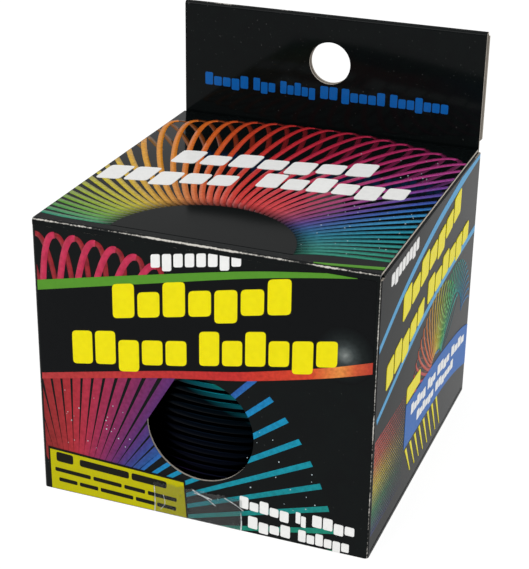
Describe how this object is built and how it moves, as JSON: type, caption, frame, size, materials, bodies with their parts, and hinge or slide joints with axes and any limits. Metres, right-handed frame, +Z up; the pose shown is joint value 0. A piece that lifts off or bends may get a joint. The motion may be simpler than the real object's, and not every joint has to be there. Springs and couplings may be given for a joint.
{
  "type": "boxed spring coil toy",
  "caption": "Rainbow spring coil toy standing in a glossy black folding carton with a hang tab, a round window, a hinged tuck lid and dust flaps.",
  "frame": {"origin": "under the middle of the pack, on the surface it stands on", "axes": "+Z up along the tab, +X to the right of the window side, -Y out of the window side"},
  "size_m": [0.07, 0.0752, 0.0857],
  "materials": {
    "printed_board": "gloss",
    "flap_board": "matte",
    "clear_tape": "gloss",
    "coil_strip": "metallic gloss"
  },
  "bodies": {
    "carton": {"front_panel": "printed_board", "left_side_panel": "printed_board", "right_side_panel": "printed_board", "back_panel": "printed_board", "glue_flap": "flap_board", "hang_tab_front_ply": "printed_board", "bottom_panel": "flap_board", "bottom_tuck_flap": "flap_board", "left_bottom_dust_flap": "flap_board", "right_bottom_dust_flap": "flap_board", "closure_tape": "clear_tape", "coil_base_turn": "coil_strip", "coil_middle_turns": "coil_strip"},
    "lid": {"lid_panel": "printed_board"},
    "lid_tuck": {"lid_tuck_flap": "flap_board"},
    "left_dust_flap": {"left_top_dust_flap": "flap_board"},
    "right_dust_flap": {"right_top_dust_flap": "flap_board"},
    "coil_top": {"coil_top_turn": "coil_strip"}
  },
  "joints": [
    {"name": "lid_hinge", "type": "hinge", "parent": "carton", "child": "lid", "pos_m": [0, -0.0374, 0.06], "axis": [1, 0, 0], "range_deg": [0, 210]},
    {"name": "tuck_flap_hinge", "type": "hinge", "parent": "lid", "child": "lid_tuck", "pos_m": [0, 0.0356, 0.05925], "axis": [1, 0, 0], "range_deg": [0, 84.5]},
    {"name": "left_flap_hinge", "type": "hinge", "parent": "carton", "child": "left_dust_flap", "pos_m": [-0.035, 0, 0.05925], "axis": [0, -1, 0], "range_deg": [0, 105.5]},
    {"name": "right_flap_hinge", "type": "hinge", "parent": "carton", "child": "right_dust_flap", "pos_m": [0.035, 0, 0.05925], "axis": [0, 1, 0], "range_deg": [0, 105.5]},
    {"name": "coil_stretch", "type": "slide", "parent": "carton", "child": "coil_top", "axis": [0, 0, 1], "range_m": [0, 0.0166], "deforming": ["coil_middle_turns"]}
  ],
  "couplings": [
    {"joint": "tuck_flap_hinge", "follows": "lid_hinge", "ratio": 0.4},
    {"joint": "left_flap_hinge", "follows": "lid_hinge", "ratio": 0.5},
    {"joint": "right_flap_hinge", "follows": "lid_hinge", "ratio": 0.5},
    {"joint": "coil_stretch", "follows": "lid_hinge", "m_per_rad": 0.0045}
  ]
}
